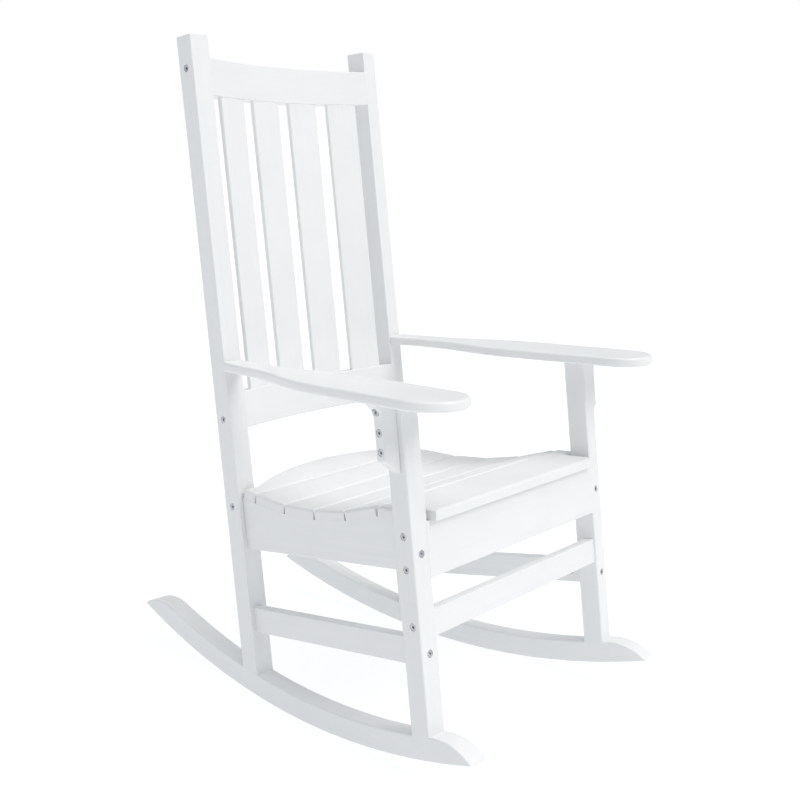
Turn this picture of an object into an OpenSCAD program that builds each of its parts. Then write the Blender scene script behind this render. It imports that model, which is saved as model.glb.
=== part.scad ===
// A white slatted porch rocking chair: two toed-in side frames on curved rockers, joined by
// rails bolted through the legs and posts, with a slatted seat and back and broad flat arms.
//
// Lengths are in millimetres. +Z is up, the sitter faces -Y, and the sitter's right is -X.
// Each side frame is drawn in its own flat coordinates: s runs outward from the outer face
// of the legs, u runs rearward from the front face of the front leg, z runs up the legs.
// The legs stand square in those coordinates and the posts lean back a little, with the back
// between them; the rest pose then rolls the whole chair back on its rockers to the attitude
// at which it balances on a level floor.

/* [Side frames] */
// Half the distance between the outer faces of the two front legs
leg_face_x = 288; // [270:1:310]
// Angle by which each side frame turns in towards the rear (degrees)
toe = 5.8; // [3:0.1:7]
// Width and depth of the legs, posts and rockers
leg_w = 38; // [36:1:40]
// Front face of the rear post, measured rearward from the front leg
post_u = 410.6; // [405:0.2:416]
// Length of the rear post, up to its square-cut top
post_top = 1191; // [1170:1:1210]
// Angle by which the rear posts and the back between them lean rearward (degrees)
post_lean = 0.5; // [0:0.1:1]

/* [Rockers] */
// Radius of the curve that rolls on the floor
rocker_r = 1213; // [1190:1:1240]
// Height of the rocker, sole to top edge
rocker_h = 40; // [36:1:44]
// Distance of the curve's centre behind the front of the leg
rocker_u = 107; // [95:1:120]
// Radius of the rounding that brings the top edge down to each tip
tip_r = 95; // [80:1:110]
// Where the front tip starts to round, as an angle ahead of straight down
front_sweep = 5.48; // [5:0.01:6.5]
// Where the rear tip starts to round, as an angle behind straight down
rear_sweep = 27.3; // [25:0.1:29]
// Angle by which the chair rolls back to balance on a level floor
rest_tilt = 11; // [8:0.1:14]

/* [Arms] */
// Height of the arm's top above the floor at the front of the legs
arm_z = 587.5; // [580:0.5:595]
// Slope of the arm, rising to the rear (degrees)
arm_slope = 6.72; // [6:0.01:7.5]
// Thickness of the arm
arm_t = 17; // [16.5:0.5:20]
// Width of the broad front part of the arm
arm_w = 120; // [110:1:130]
// How far the rounded nose reaches ahead of the front leg
arm_nose = 119; // [105:1:130]

/* [Seat] */
// Lowest point of the curved top edge of the side rails
rail_dip_z = 370; // [366:1:373]
// Radius of that curve
rail_dip_r = 660; // [600:10:760]
// Thickness of the slats
slat_t = 17; // [15:0.5:19]
// Slope of the front slat, falling to the front (degrees)
front_slope = 5; // [3:0.5:6]
// Gap between neighbouring slats
slat_gap = 4; // [3:0.5:7]

/* [Back] */
// Underside of the lower back rail
lower_rail_z = 515; // [505:1:525]
// Height of the lower back rail
lower_rail_h = 65; // [60:1:70]
// Underside of the crest rail
crest_z = 1089; // [1080:1:1095]
// Height of the crest rail
crest_h = 64; // [58:1:70]
// How far the middle of the back bows rearward
back_bow = 30; // [22:1:34]
// Thickness of the two bowed rails
back_rail_t = 25; // [22:1:28]
// Width of a back slat
back_slat_w = 70; // [62:1:76]
// Thickness of a back slat
back_slat_t = 9; // [8:0.5:10]

/* [Hidden] */

// Large arcs are drawn in one-degree steps; small bores and bolts need fewer.
arc_fn = 360;
bore_fn = 24;
// Cutting shapes run this far past the wood they cut.
past = 200;
hair = 0.03;

post_back_u = post_u + leg_w;
post_mid_u = post_u + leg_w / 2;
leg_mid = leg_w / 2;
// Height at which the leaning posts pass through their nominal place.
lean_z = 300;
// Small round-over on the long edges of the legs and posts.
leg_round = 3;

// The side rails and stretchers are thinner than the legs and centred on them.
rail_t = 20;
rail_out_s = -(leg_w - rail_t) / 2;
rail_in_s = rail_out_s - rail_t;
rail_mid_s = -leg_w / 2;
rail_bottom_z = 304;
// Place along the rail where its top edge is lowest.
rail_dip_u = 228;
side_stretcher_z = 154;
side_stretcher_h = 45;

apron_z = 290;
apron_t = 26;
front_stretcher_z = 196;
front_stretcher_h = 44;
front_stretcher_t = 20;
front_stretcher_u = 4;
rear_rail_z = 335;
rear_rail_h = 60;
rear_rail_t = 22;

// The slats: rearward places where each starts, and the rounding of their upper edges.
slat_start_u = 83;
slat_pitch = 74.6;
slat_w = slat_pitch - slat_gap;
slat_round = 5;
slat_lip_y = -16;
front_slat_end_u = 80;
front_slat_end_y = side_y(rail_mid_s, front_slat_end_u);
front_slat_w = (front_slat_end_y - slat_lip_y) / cos(front_slope);
leg_gap = 8;
post_gap = 2;
// The rear slat bulges rearward in an arc that follows the bow of the back.
rear_bulge_r = 520;
rear_bulge_y = 447;
rear_slat_end_u = post_u - post_gap;
rear_slat_i = 4;

// Arm plan: the broad part is not centred on the leg, and narrows in an S to the post.
arm_r = arm_w / 2;
arm_mid_s = -6;
arm_nose_u = arm_r - arm_nose;
arm_taper_u = 128;
arm_taper_l = 232;
arm_neck_out_s = 14;
arm_neck_in_s = -32;
arm_end_out_s = 4;
arm_end_in_s = -leg_w;
tenon_d = 22;
tenon_top = 581;

// Bracket under the arm, on the outer face of the front leg.
bracket_t = 18;
bracket_mid_u = leg_mid;
bracket_w = 31;
bracket_foot_z = 460;
bracket_heel_z = 484;
bracket_flare_z = 544;
bracket_flare_r = 34;
bracket_flare_w = 16;

// Curve of the back: the front faces of the bowed rails meet the posts' front faces.
back_half_x = side_x(-leg_w, post_u);
back_end_y = side_y(-leg_w, post_u);
back_r = (back_half_x * back_half_x + back_bow * back_bow) / (2 * back_bow);
back_centre_y = back_end_y + back_bow - back_r;
// Angle between the middles of neighbouring back slats, seen from the centre of the curve.
back_slat_turn = 7.6;
// The slats' front faces lie this far behind those of the bowed rails. Their tongues, at the
// rear of their thickness, enter mortises in the rails.
back_slat_recess = 1;
tongue_l = 10;
tongue_t = 5;

// Frame bolts with barrel nuts: one size throughout, heads sunk just below the wood.
head_d = 12.5;
head_t = 3.5;
head_sink = 0.4;
socket_across = 5;
socket_deep = 2.5;
shank_d = 6;
bore_d = 6.6;
bolt_l = 60;
nut_depth = 58;
nut_d = 10;
nut_l = 12;
counterbore = head_t + head_sink;
// The bores of the nuts run this far to one side of the bolt, out through the wood.
nut_bore_l = 50;
// Heights of the bolts that run along the side frame, through the leg and the post.
end_bolt_z = [174, 332];
// Bolts that run across the chair: [u, z] on the outer faces.
leg_bolts = [[17.5, 361], [17.5, 309], [13.5, 219]];
post_bolts = [[post_mid_u, 1136], [post_mid_u, 534], [post_mid_u, 380]];
arm_bolt_s = -17;
arm_bolt_z = 625;

// Screws through the bracket into the leg: [z, s of the head's face].
bracket_screws_at = [[497, 31], [527, 31], [559, 35]];
bracket_screw_l = 58;
bracket_screw_d = 5;

// Screws up through the rockers into the ends of the legs and posts.
rocker_screw_d = 7;
rocker_screw_l = 80;
rocker_head_deep = 12;
rocker_counterbore_d = head_d + 1.5;

dowel_d = 8;
dowel_l = 24;
dowel_up = 10;

paint = [0.94, 0.94, 0.93];
shade = [0.90, 0.90, 0.89];
zinc = [0.62, 0.63, 0.65];
beech = [0.82, 0.68, 0.50];

// ---- places on a side frame ----

function side_x(s, u) = leg_face_x + s * cos(toe) - u * sin(toe);
function side_y(s, u) = u * cos(toe) + s * sin(toe);
// Height of the side rail's curved top edge.
function rail_top(u) = rail_dip_z + rail_dip_r - sqrt(pow(rail_dip_r, 2) - pow(u - rail_dip_u, 2));
// Height of the rocker's sole, below the place u.
function sole_z(u) = rocker_r - sqrt(pow(rocker_r, 2) - pow(u - rocker_u, 2));
// Where slat i begins and ends on the side rail; slat 0 is the one behind the front slat.
function slat_u(i) = slat_start_u + i * slat_pitch;
function slat_end_u(i) = i == rear_slat_i ? rear_slat_end_u : slat_u(i) + slat_w;
// Height of the front slat's underside, the distance y rearward in the chair's coordinates.
function front_slat_z(y) = rail_top(front_slat_end_u) - (front_slat_end_y - y) * tan(front_slope);

// How far beyond the end of the sweep the tip's rounding meets the sole.
tip_centre_r = rocker_r - rocker_h + tip_r;
tip_turn = acos(
    (pow(tip_centre_r, 2) + pow(rocker_r, 2) - pow(tip_r, 2)) / (2 * tip_centre_r * rocker_r)
);

// Distance rearward of a point of the sole once the chair is tilted, turn degrees round
// from straight down.
function tilted_y(s, turn) =
    side_y(s, rocker_u + rocker_r * sin(turn)) * cos(rest_tilt)
    + rocker_r * (1 - cos(turn)) * sin(rest_tilt);

// The tips are the chair's foremost and rearmost points, so their middle is its middle.
rest_y = -(tilted_y(-leg_w, -front_sweep - tip_turn) + tilted_y(0, rear_sweep + tip_turn)) / 2;

// Lowest point of the tilted rockers: the outer edge of each sole touches the floor there.
touch_u = rocker_u + rocker_r * sin(atan(cos(toe) * tan(rest_tilt)));
rest_z = side_y(0, touch_u) * sin(rest_tilt) - sole_z(touch_u) * cos(rest_tilt);

// Rolls the chair back to its balance attitude, with the origin on the floor under the
// middle of its overall length.
module at_rest() {
    translate([0, rest_y, rest_z])
        rotate([-rest_tilt, 0, 0])
            children();
}

module left_side() {
    translate([leg_face_x, 0, 0])
        rotate([0, 0, toe])
            children();
}

module right_side() {
    mirror([1, 0, 0])
        left_side()
            children();
}

module both_sides() {
    left_side() children();
    right_side() children();
}

// ---- ways of extruding a board ----

// A flat shape in (u or y, z), given thickness along s or x from `from` to `to`.
module along_s(from, to) {
    translate([from, 0, 0])
        rotate([90, 0, 90])
            linear_extrude(to - from)
                children();
}

// A flat shape in (s or x, z), given thickness along u or y from `from` to `to`.
module along_u(from, to) {
    translate([0, to, 0])
        rotate([90, 0, 0])
            linear_extrude(to - from)
                children();
}

// The plan of the space between the side frames, out to the planes at s.
module between_plan(s) {
    back = post_back_u + past;
    polygon([
        [side_x(s, -past), side_y(s, -past)],
        [side_x(s, back), side_y(s, back)],
        [-side_x(s, back), side_y(s, back)],
        [-side_x(s, -past), side_y(s, -past)]
    ]);
}

// Trims a board that crosses the chair to the two side frames.
module trim_between(s) {
    intersection() {
        children();
        linear_extrude(post_top)
            between_plan(s);
    }
}

// Square post section with its four long edges rounded.
module leg_section() {
    inset = leg_w - 2 * leg_round;
    translate([-leg_w, leg_round])
        square([leg_w, inset]);
    translate([leg_round - leg_w, 0])
        square([inset, leg_w]);
    for (s = [leg_round - leg_w, -leg_round])
        for (u = [leg_round, leg_w - leg_round])
            translate([s, u])
                circle(r = leg_round, $fn = bore_fn);
}

// Slat section with its two upper edges rounded.
module slat_section(w, t, r) {
    square([w, t - r]);
    translate([r, 0])
        square([w - 2 * r, t]);
    for (y = [r, w - r])
        translate([y, t - r])
            circle(r = r, $fn = bore_fn);
}

// Everything above the top edge of the rocker, seen from the side.
module above_rocker() {
    along_s(-leg_w - past, past)
        translate([rocker_u, rocker_r])
            circle(r = rocker_r - rocker_h, $fn = arc_fn);
}

// The slope of the arms, as a tilted frame whose z = 0 is the arm's top surface.
module on_arm_slope() {
    translate([0, 0, arm_z])
        rotate([arm_slope, 0, 0])
            children();
}

// Moves a shape drawn in the chair's coordinates into those of a side frame.
module chair_in_side() {
    rotate([0, 0, -toe])
        translate([-leg_face_x, 0, 0])
            children();
}

// Moves a shape drawn on the slope of the arm into the upright coordinates of a side frame.
module arm_in_side() {
    chair_in_side()
        on_arm_slope()
            left_side()
                children();
}

// Leans a shape back with the posts, about the place [x or s, y or u, lean_z].
module leaning(y) {
    translate([0, y, lean_z])
        rotate([-post_lean, 0, 0])
            translate([0, -y, -lean_z])
                children();
}

// Everything behind the front face of the post, in the side frame's coordinates.
module behind_post_front() {
    leaning(post_u)
        translate([-past, post_u, 0])
            cube([2 * past, past, post_top]);
}

module below_arm() {
    arm_in_side()
        translate([-past, -past, -arm_t - post_top])
            cube([2 * past, 2 * past, post_top]);
}

// ---- fasteners and the bores that take them ----

// A bolt along +z whose head's face lies head_sink below z = 0.
module bolt(l, d) {
    difference() {
        translate([0, 0, head_sink])
            cylinder(d = head_d, h = head_t, $fn = bore_fn);
        translate([0, 0, head_sink - 1])
            cylinder(d = socket_across / cos(30), h = socket_deep + 1, $fn = 6);
    }
    translate([0, 0, counterbore])
        cylinder(d = d, h = l, $fn = bore_fn);
}

module bolt_bore(l, d) {
    translate([0, 0, -1])
        cylinder(d = head_d, h = counterbore + 1, $fn = bore_fn);
    cylinder(d = d, h = counterbore + l + 2, $fn = bore_fn);
}

// The barrel nut of a frame bolt, lying across it along the bolt's own y.
module barrel_nut() {
    difference() {
        translate([0, nut_l / 2, nut_depth])
            rotate([90, 0, 0])
                cylinder(d = nut_d, h = nut_l, $fn = bore_fn);
        translate([0, 0, nut_depth - nut_d])
            cylinder(d = shank_d, h = 2 * nut_d, $fn = bore_fn);
    }
}

// The nut's bore, open on the +y side of the bolt.
module barrel_nut_bore() {
    translate([0, nut_bore_l, nut_depth])
        rotate([90, 0, 0])
            cylinder(d = nut_d, h = nut_l / 2 + nut_bore_l, $fn = bore_fn);
}

// Turns a bolt's own axes so that it runs inward from the outer face at [u, z],
// with its nut bored from the rear.
module inward_at(u, z) {
    translate([0, u, z])
        rotate([0, -90, 0])
            children();
}

// Runs rearward from the front face of the leg, with the nut bored from inside the chair.
module rearward_at(z) {
    translate([rail_mid_s, 0, z])
        rotate([-90, 0, 0])
            rotate([0, 0, 90])
                children();
}

// Runs forward from the rear face of the post, with the nut bored from inside the chair.
module forward_at(z) {
    leaning(post_u)
        translate([rail_mid_s, post_back_u, z])
            rotate([90, 0, 0])
                rotate([0, 0, 90])
                    children();
}

// Runs forward from the rear face of the post into the end of the arm, nut bored from below.
module forward_into_arm() {
    leaning(post_u)
        translate([arm_bolt_s, post_back_u, arm_bolt_z])
            rotate([90, 0, 0])
                rotate([0, 0, 180])
                    children();
}

module at_leg_bolts() {
    for (at = leg_bolts)
        inward_at(at[0], at[1])
            children();
}

module at_post_bolts() {
    for (at = post_bolts)
        leaning(post_u)
            inward_at(at[0], at[1])
                children();
}

module at_end_bolts() {
    for (z = end_bolt_z) {
        rearward_at(z)
            children();
        forward_at(z)
            children();
    }
}

module at_bracket_screws() {
    for (at = bracket_screws_at)
        translate([at[1], bracket_mid_u, at[0]])
            rotate([0, -90, 0])
                children();
}

module at_rocker_screws() {
    for (u = [leg_mid, post_mid_u])
        translate([rail_mid_s, u, sole_z(u) + rocker_head_deep])
            children();
}

// Bores of every frame bolt and nut of one side frame.
module frame_bores() {
    at_leg_bolts() bolt_bore(bolt_l, bore_d);
    at_post_bolts() bolt_bore(bolt_l, bore_d);
    at_end_bolts() bolt_bore(bolt_l, bore_d);
    forward_into_arm() bolt_bore(bolt_l, bore_d);
}

module nut_bores() {
    at_leg_bolts() barrel_nut_bore();
    at_post_bolts() barrel_nut_bore();
    at_end_bolts() barrel_nut_bore();
    forward_into_arm() barrel_nut_bore();
}

// A screw into the end of the leg or post, drawn up from the sole of the rocker.
module rocker_screw_bore() {
    translate([0, 0, -rocker_head_deep - rocker_h / 2])
        cylinder(
            d = rocker_counterbore_d,
            h = rocker_head_deep + rocker_h / 2 + counterbore,
            $fn = bore_fn
        );
    cylinder(d = rocker_screw_d, h = counterbore + rocker_screw_l, $fn = bore_fn);
}

// A dowel place on the side rail between u = from and u = to, square to the slat above it.
module at_dowel(from, z_from, to, z_to) {
    translate([rail_mid_s, (from + to) / 2, (z_from + z_to) / 2])
        rotate([atan((z_to - z_from) / (to - from)), 0, 0])
            translate([0, 0, dowel_up - dowel_l])
                children();
}

module at_front_dowel() {
    from = leg_w + leg_gap;
    z_from = front_slat_z(side_y(rail_mid_s, from));
    at_dowel(from, z_from, front_slat_end_u, rail_top(front_slat_end_u))
        children();
}

module at_slat_dowel(i) {
    at_dowel(slat_u(i), rail_top(slat_u(i)), slat_end_u(i), rail_top(slat_end_u(i)))
        children();
}

module at_seat_dowels() {
    at_front_dowel()
        children();
    for (i = [0:rear_slat_i])
        at_slat_dowel(i)
            children();
}

module seat_dowel() {
    cylinder(d = dowel_d, h = dowel_l, $fn = bore_fn);
}

// ---- side frame members, each drawn in its side frame's own coordinates ----

// Curved rocker: a slice of a ring, its top edge rounded down to the sole at both tips.
module rocker() {
    reach = 2 * rocker_r;
    difference() {
        along_s(-leg_w, 0)
            translate([rocker_u, rocker_r])
                difference() {
                    intersection() {
                        circle(r = rocker_r, $fn = arc_fn);
                        union() {
                            polygon([
                                [0, 0],
                                [-reach * sin(front_sweep), -reach * cos(front_sweep)],
                                [reach * sin(rear_sweep), -reach * cos(rear_sweep)]
                            ]);
                            for (turn = [-front_sweep, rear_sweep])
                                rotate(turn)
                                    translate([0, rocker_h - rocker_r - tip_r])
                                        circle(r = tip_r, $fn = arc_fn);
                        }
                    }
                    circle(r = rocker_r - rocker_h, $fn = arc_fn);
                }
        at_rocker_screws() rocker_screw_bore();
    }
}

// Front leg: coped onto the rocker, cut to the slope of the arm, with a round tenon on top.
module front_leg() {
    difference() {
        union() {
            intersection() {
                linear_extrude(arm_z)
                    leg_section();
                above_rocker();
                below_arm();
            }
            translate([-leg_mid, leg_mid, tenon_top - tenon_d])
                cylinder(d = tenon_d, h = tenon_d, $fn = bore_fn);
        }
        frame_bores();
        at_bracket_screws() bolt_bore(bracket_screw_l, bracket_screw_d);
        at_rocker_screws() rocker_screw_bore();
    }
}

module rear_post() {
    difference() {
        intersection() {
            leaning(post_u)
                translate([0, post_u, 0])
                    linear_extrude(post_top)
                        leg_section();
            above_rocker();
        }
        frame_bores();
        at_rocker_screws() rocker_screw_bore();
    }
}

// Side rail: level below, its top a hollow curve cut in a flat under each slat.
module side_rail() {
    difference() {
        along_s(rail_in_s, rail_out_s)
            polygon([
                [post_back_u, rail_bottom_z],
                [leg_w, rail_bottom_z],
                [leg_w, front_slat_z(side_y(rail_mid_s, leg_w))],
                [front_slat_end_u, rail_top(front_slat_end_u)],
                for (i = [0:rear_slat_i])
                    for (u = [slat_u(i), slat_end_u(i)])
                        [u, rail_top(u)],
                [post_back_u, rail_top(post_back_u)]
            ]);
        chair_in_side() {
            front_slab()
                square([front_slat_w, slat_t]);
            for (i = [0:rear_slat_i])
                slat_slab(slat_u(i), slat_end_u(i))
                    square([slat_w, slat_t]);
        }
        behind_post_front();
        frame_bores();
        nut_bores();
        at_seat_dowels() seat_dowel();
    }
}

module side_stretcher() {
    difference() {
        along_s(rail_in_s, rail_out_s)
            translate([leg_w, side_stretcher_z])
                square([post_u, side_stretcher_h]);
        behind_post_front();
        frame_bores();
        nut_bores();
    }
}

// One side of the arm's narrowing: an S of two equal arcs that brings the width from w to 0.
// The hollow arc is cut a hair deeper, so that the two cross cleanly where they meet.
module s_step(w, l) {
    r = (w * w + l * l) / (4 * w);
    difference() {
        intersection() {
            square([w, l]);
            union() {
                translate([w - r, 0])
                    circle(r = r, $fn = arc_fn);
                translate([0, l / 2])
                    square([w, l / 2]);
            }
        }
        translate([r, l])
            circle(r = r + hair, $fn = arc_fn);
    }
}

module arm_plan() {
    out_s = arm_mid_s + arm_r;
    in_s = arm_mid_s - arm_r;
    end_u = post_u + leg_w;
    translate([arm_mid_s, arm_nose_u])
        circle(r = arm_r, $fn = arc_fn / 2);
    translate([in_s, arm_nose_u])
        square([arm_w, arm_taper_u - arm_nose_u]);
    translate([arm_neck_out_s, arm_taper_u])
        s_step(out_s - arm_neck_out_s, arm_taper_l);
    translate([arm_neck_in_s, arm_taper_u])
        mirror([1, 0])
            s_step(arm_neck_in_s - in_s, arm_taper_l);
    translate([arm_neck_in_s, arm_taper_u])
        square([arm_neck_out_s - arm_neck_in_s, arm_taper_l]);
    polygon([
        [arm_neck_in_s, arm_taper_u + arm_taper_l],
        [arm_neck_out_s, arm_taper_u + arm_taper_l],
        [arm_end_out_s, end_u],
        [arm_end_in_s, end_u]
    ]);
}

module arm() {
    difference() {
        arm_in_side()
            translate([0, 0, -arm_t])
                linear_extrude(arm_t)
                    arm_plan();
        behind_post_front();
        translate([-leg_mid, leg_mid, 0])
            cylinder(d = tenon_d, h = tenon_top, $fn = bore_fn);
        forward_into_arm() {
            bolt_bore(bolt_l, bore_d);
            barrel_nut_bore();
        }
    }
}

// Bracket: chamfered foot, upright edge, and a flare out to the underside of the arm.
module arm_bracket() {
    difference() {
        intersection() {
            along_u(bracket_mid_u - bracket_t / 2, bracket_mid_u + bracket_t / 2) {
                polygon([
                    [0, bracket_foot_z],
                    [bracket_w, bracket_heel_z],
                    [bracket_w, arm_z],
                    [0, arm_z]
                ]);
                difference() {
                    translate([bracket_w, bracket_flare_z])
                        square([bracket_flare_w, bracket_flare_r]);
                    translate([bracket_w + bracket_flare_r, bracket_flare_z])
                        circle(r = bracket_flare_r, $fn = arc_fn / 4);
                }
            }
            below_arm();
        }
        at_bracket_screws() bolt_bore(bracket_screw_l, bracket_screw_d);
    }
}

// ---- members that cross the chair ----

// A straight board across the chair between the inner faces of the legs or posts.
module cross_board(y, z, t, h) {
    difference() {
        trim_between(-leg_w)
            translate([-leg_face_x, y, z])
                cube([2 * leg_face_x, t, h]);
        both_sides() {
            frame_bores();
            nut_bores();
        }
    }
}

// Apron: its top edge is planed to the slope of the front slat.
module apron_board() {
    difference() {
        cross_board(side_y(-leg_w, 0), apron_z, apron_t, rail_top(front_slat_end_u) - apron_z);
        front_slab()
            square([front_slat_w, slat_t]);
    }
}

module front_stretcher_board() {
    cross_board(side_y(-leg_w, front_stretcher_u), front_stretcher_z, front_stretcher_t, front_stretcher_h);
}

module rear_rail_board() {
    cross_board(side_y(-leg_w, post_mid_u) - rear_rail_t / 2, rear_rail_z, rear_rail_t, rear_rail_h);
}

// The sloping slab of the front slat, resting on the rails and on the apron.
module front_slab() {
    translate([0, front_slat_end_y, rail_top(front_slat_end_u)])
        rotate([front_slope, 0, 0])
            along_s(-leg_face_x, leg_face_x)
                translate([-front_slat_w, 0])
                    children();
}

// Front slat: notched round both legs, its ends flush with the side rails.
module front_slat() {
    difference() {
        trim_between(rail_out_s)
            front_slab()
                slat_section(front_slat_w, slat_t, slat_round);
        both_sides() {
            translate([-leg_w - leg_gap, -past, 0])
                cube([past, past + leg_w + leg_gap, post_top]);
            at_front_dowel() seat_dowel();
        }
    }
}

// The sloping slab of slat i, resting on the curved rails between the places from and to.
module slat_slab(from, to) {
    z0 = rail_top(from);
    z1 = rail_top(to);
    run = side_y(rail_mid_s, to) - side_y(rail_mid_s, from);
    translate([0, side_y(rail_mid_s, from), z0])
        rotate([atan((z1 - z0) / run), 0, 0])
            along_s(-leg_face_x, leg_face_x)
                children();
}

module seat_slat(i) {
    from = slat_u(i);
    to = slat_end_u(i);
    width = norm([side_y(0, to) - side_y(0, from), rail_top(to) - rail_top(from)]);
    difference() {
        trim_between(rail_out_s)
            slat_slab(from, to)
                slat_section(width, slat_t, slat_round);
        both_sides()
            at_slat_dowel(i) seat_dowel();
    }
}

// Rear slat: straight in front of the posts, bulging rearward between them.
module rear_slat() {
    end_y = side_y(rail_mid_s, rear_slat_end_u);
    difference() {
        intersection() {
            slat_slab(slat_u(rear_slat_i), rear_slat_end_u)
                slat_section(past, slat_t, slat_round);
            linear_extrude(post_top)
                intersection() {
                    between_plan(rail_out_s);
                    union() {
                        translate([-leg_face_x, 0])
                            square([2 * leg_face_x, end_y]);
                        translate([0, rear_bulge_y - rear_bulge_r])
                            circle(r = rear_bulge_r, $fn = arc_fn);
                    }
                }
        }
        both_sides()
            at_slat_dowel(rear_slat_i) seat_dowel();
    }
}

// ---- the back ----

// A flat slat standing in the curve of the back, n steps round from the middle.
module on_back_curve(n) {
    translate([0, back_centre_y, 0])
        rotate([0, 0, -n * back_slat_turn])
            translate([0, back_r + back_slat_recess, 0])
                children();
}

// A board of the back slats' width between the bowed rails: it lies `behind` their front
// faces and reaches a given way into both rails.
module back_board(n, behind, t, reach) {
    bottom = lower_rail_z + lower_rail_h - reach;
    leaning(back_end_y)
        on_back_curve(n)
            translate([-back_slat_w / 2, behind, bottom])
                cube([back_slat_w, t, crest_z + reach - bottom]);
}

module back_slat_tongues(n) {
    back_board(n, back_slat_t - tongue_t, tongue_t, tongue_l);
}

module back_slat(n) {
    back_board(n, 0, back_slat_t, 0);
    back_slat_tongues(n);
}

// A bowed rail between the posts, mortised for the tongues of the four slats.
module bowed_rail(z, h) {
    difference() {
        trim_between(-leg_w)
            leaning(back_end_y)
                translate([0, back_centre_y, z])
                    linear_extrude(h)
                        difference() {
                            circle(r = back_r + back_rail_t, $fn = arc_fn);
                            circle(r = back_r, $fn = arc_fn);
                            translate([-2 * back_r, -2 * back_r])
                                square([4 * back_r, 2 * back_r]);
                        }
        for (n = [-1.5:1:1.5])
            back_slat_tongues(n);
        both_sides() {
            frame_bores();
            nut_bores();
        }
    }
}

// ---- sub-parts ----

module right_rocker() { color(paint) at_rest() right_side() rocker(); }
module left_rocker() { color(paint) at_rest() left_side() rocker(); }
module right_front_leg() { color(paint) at_rest() right_side() front_leg(); }
module left_front_leg() { color(paint) at_rest() left_side() front_leg(); }
module right_rear_post() { color(paint) at_rest() right_side() rear_post(); }
module left_rear_post() { color(paint) at_rest() left_side() rear_post(); }
module right_side_rail() { color(shade) at_rest() right_side() side_rail(); }
module left_side_rail() { color(shade) at_rest() left_side() side_rail(); }
module right_side_stretcher() { color(shade) at_rest() right_side() side_stretcher(); }
module left_side_stretcher() { color(shade) at_rest() left_side() side_stretcher(); }
module right_arm() { color(paint) at_rest() right_side() arm(); }
module left_arm() { color(paint) at_rest() left_side() arm(); }
module right_arm_bracket() { color(shade) at_rest() right_side() arm_bracket(); }
module left_arm_bracket() { color(shade) at_rest() left_side() arm_bracket(); }
module front_apron() { color(shade) at_rest() apron_board(); }
module front_stretcher() { color(shade) at_rest() front_stretcher_board(); }
module rear_seat_rail() { color(shade) at_rest() rear_rail_board(); }
module seat_slat_1() { color(paint) at_rest() front_slat(); }
module seat_slat_2() { color(paint) at_rest() seat_slat(0); }
module seat_slat_3() { color(paint) at_rest() seat_slat(1); }
module seat_slat_4() { color(paint) at_rest() seat_slat(2); }
module seat_slat_5() { color(paint) at_rest() seat_slat(3); }
module seat_slat_6() { color(paint) at_rest() rear_slat(); }
module lower_back_rail() { color(paint) at_rest() bowed_rail(lower_rail_z, lower_rail_h); }
module crest_rail() { color(paint) at_rest() bowed_rail(crest_z, crest_h); }
module back_slat_1() { color(paint) at_rest() back_slat(-1.5); }
module back_slat_2() { color(paint) at_rest() back_slat(-0.5); }
module back_slat_3() { color(paint) at_rest() back_slat(0.5); }
module back_slat_4() { color(paint) at_rest() back_slat(1.5); }

module frame_bolts() {
    color(zinc)
        at_rest()
            both_sides() {
                at_leg_bolts() bolt(bolt_l, shank_d);
                at_post_bolts() bolt(bolt_l, shank_d);
                at_end_bolts() bolt(bolt_l, shank_d);
                forward_into_arm() bolt(bolt_l, shank_d);
            }
}

module barrel_nuts() {
    color(zinc)
        at_rest()
            both_sides() {
                at_leg_bolts() barrel_nut();
                at_post_bolts() barrel_nut();
                at_end_bolts() barrel_nut();
                forward_into_arm() barrel_nut();
            }
}

module bracket_screws() {
    color(zinc)
        at_rest()
            both_sides()
                at_bracket_screws() bolt(bracket_screw_l, bracket_screw_d);
}

module rocker_screws() {
    color(zinc)
        at_rest()
            both_sides()
                at_rocker_screws() bolt(rocker_screw_l, rocker_screw_d);
}

module seat_dowels() {
    color(beech)
        at_rest()
            both_sides()
                at_seat_dowels() seat_dowel();
}

right_rocker();
left_rocker();
right_front_leg();
left_front_leg();
right_rear_post();
left_rear_post();
right_side_rail();
left_side_rail();
right_side_stretcher();
left_side_stretcher();
right_arm();
left_arm();
right_arm_bracket();
left_arm_bracket();
front_apron();
front_stretcher();
rear_seat_rail();
seat_slat_1();
seat_slat_2();
seat_slat_3();
seat_slat_4();
seat_slat_5();
seat_slat_6();
lower_back_rail();
crest_rail();
back_slat_1();
back_slat_2();
back_slat_3();
back_slat_4();
frame_bolts();
barrel_nuts();
bracket_screws();
rocker_screws();
seat_dowels();
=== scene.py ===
"""Looks for a white slatted porch rocking chair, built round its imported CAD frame.

Every wooden CAD node is replaced by a board with rounded edges, sunk bolt holes and painted
grain. Boards are drawn in the same coordinates as the CAD: on a side frame s runs outward
from the legs' outer face, u runs rearward from the front of the front leg, z runs up the
legs; the posts and the back lean back a little, and the whole chair then rolls back on its
rockers to its balance attitude. Metres.
"""

import math

import bmesh
import bpy
from mathutils import Matrix, Vector


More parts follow.
